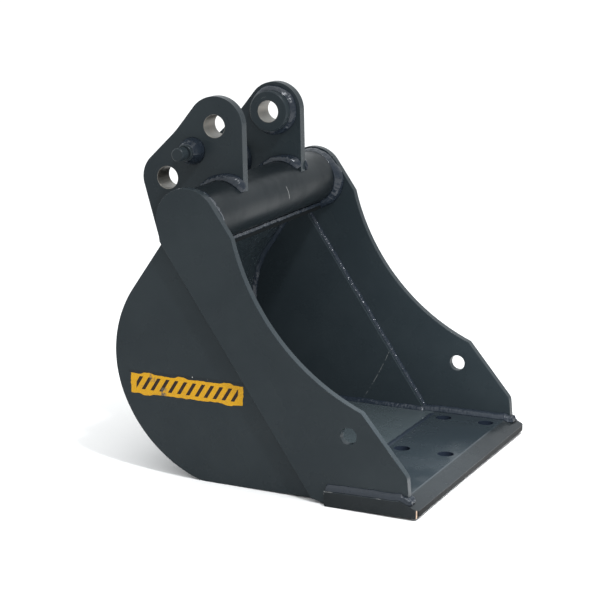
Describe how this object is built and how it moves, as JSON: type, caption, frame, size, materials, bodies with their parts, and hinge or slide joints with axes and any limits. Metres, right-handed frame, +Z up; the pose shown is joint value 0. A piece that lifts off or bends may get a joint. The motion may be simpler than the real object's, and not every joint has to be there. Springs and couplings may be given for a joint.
{
  "type": "excavator bucket",
  "caption": "Welded excavator digging bucket with a curved shell, concave-fronted side plates, a bevelled cutting edge drilled for bolts, a cross tube and pinned ears.",
  "frame": {"origin": "on the arm pin's axis at mid-width", "axes": "+X along the pin axes towards the right side plate, mouth and cutting edge towards -Y, +Z up with the cutting edge lying flat"},
  "size_m": [0.45, 0.4442, 0.498],
  "materials": {
    "paint": "slate grey semi-gloss machinery paint over rolled plate",
    "weld_paint": "the same paint, glossier over rippled weld beads",
    "bare_steel": "machined bore, bare",
    "sticker": "yellow vinyl film, satin"
  },
  "bodies": {
    "root": {"cutting_edge": "paint", "side_plate_left": "paint", "side_plate_right": "paint", "cheek_plate_left": "paint", "cheek_plate_right": "paint", "shell": "paint", "cross_tube": "paint", "ear_left": "paint", "ear_right": "paint", "arm_boss_left": "paint", "arm_boss_right": "paint", "link_boss_left": "paint", "link_boss_right": "paint", "keeper_stud": "paint", "arm_bush_left": "bare_steel", "arm_bush_right": "bare_steel", "link_bush_left": "bare_steel", "link_bush_right": "bare_steel", "tube_end_weld_left": "weld_paint", "tube_end_weld_right": "weld_paint", "ear_weld_left": "weld_paint", "ear_weld_right": "weld_paint", "arm_boss_weld_left": "weld_paint", "arm_boss_weld_right": "weld_paint", "link_boss_weld_left": "weld_paint", "link_boss_weld_right": "weld_paint", "keeper_weld": "weld_paint", "lap_weld_left": "weld_paint", "lap_weld_right": "weld_paint", "seam_weld_left": "weld_paint", "seam_weld_right": "weld_paint", "corner_weld_left": "weld_paint", "corner_weld_right": "weld_paint", "rim_weld_left": "weld_paint", "rim_weld_right": "weld_paint", "lip_weld_left": "weld_paint", "lip_weld_right": "weld_paint", "lip_end_weld_left": "weld_paint", "lip_end_weld_right": "weld_paint", "floor_seam_weld": "weld_paint", "floor_root_weld": "weld_paint", "tube_front_weld": "weld_paint", "tube_back_weld": "weld_paint", "side_decal": "sticker"}
  },
  "joints": []
}
